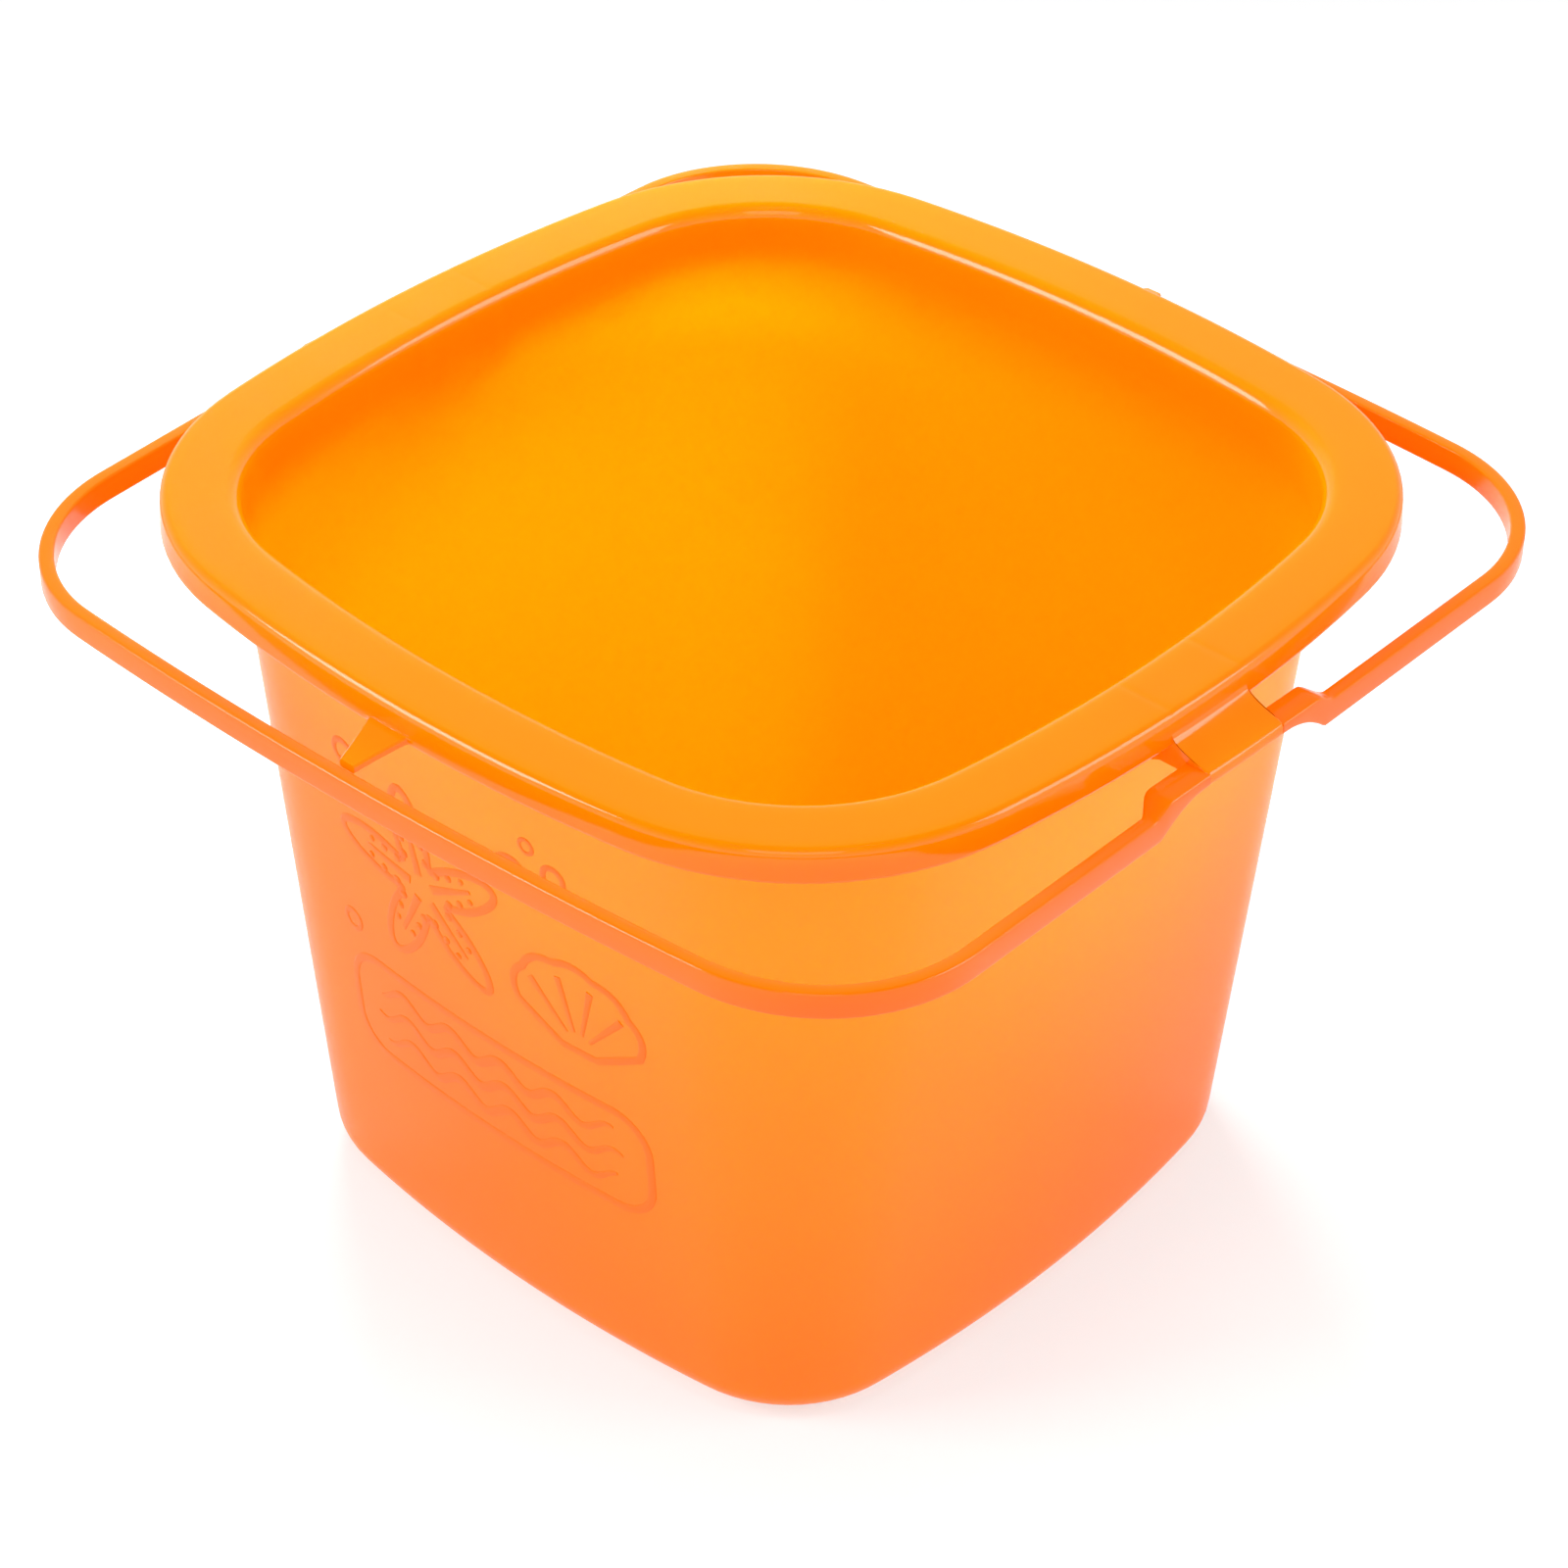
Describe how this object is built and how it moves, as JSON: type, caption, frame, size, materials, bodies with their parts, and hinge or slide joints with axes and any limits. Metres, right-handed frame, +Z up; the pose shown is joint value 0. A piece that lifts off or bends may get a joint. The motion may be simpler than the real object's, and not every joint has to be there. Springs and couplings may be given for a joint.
{
  "type": "sand bucket",
  "caption": "Square tapered plastic sand bucket with rounded corners, a broad flanged rim, and strap bails that lie flat round the rim and swing up to carry it.",
  "frame": {"origin": "centre of the base, on the surface it stands on", "axes": "+Z up through the mouth, -Y towards the front (the side with the moulded emblem and the front bail), +X to the right, through the hood between the bails' roots"},
  "size_m": [0.2398, 0.2496, 0.172],
  "materials": {
    "tub_plastic": "glossy orange polypropylene, slightly translucent",
    "bail_plastic": "glossy orange polypropylene, slightly translucent"
  },
  "bodies": {
    "tub": {"tub": "tub_plastic"},
    "front_bail": {"front_bail": "bail_plastic"},
    "back_bail": {"back_bail": "bail_plastic"}
  },
  "joints": [
    {"name": "front_bail_hinge", "type": "hinge", "parent": "tub", "child": "front_bail", "pos_m": [0, -0.0158, 0.1616], "axis": [-1, 0, 0], "range_deg": [0, 98]},
    {"name": "back_bail_hinge", "type": "hinge", "parent": "tub", "child": "back_bail", "pos_m": [0, 0.0158, 0.1616], "axis": [1, 0, 0], "range_deg": [0, 98]}
  ]
}
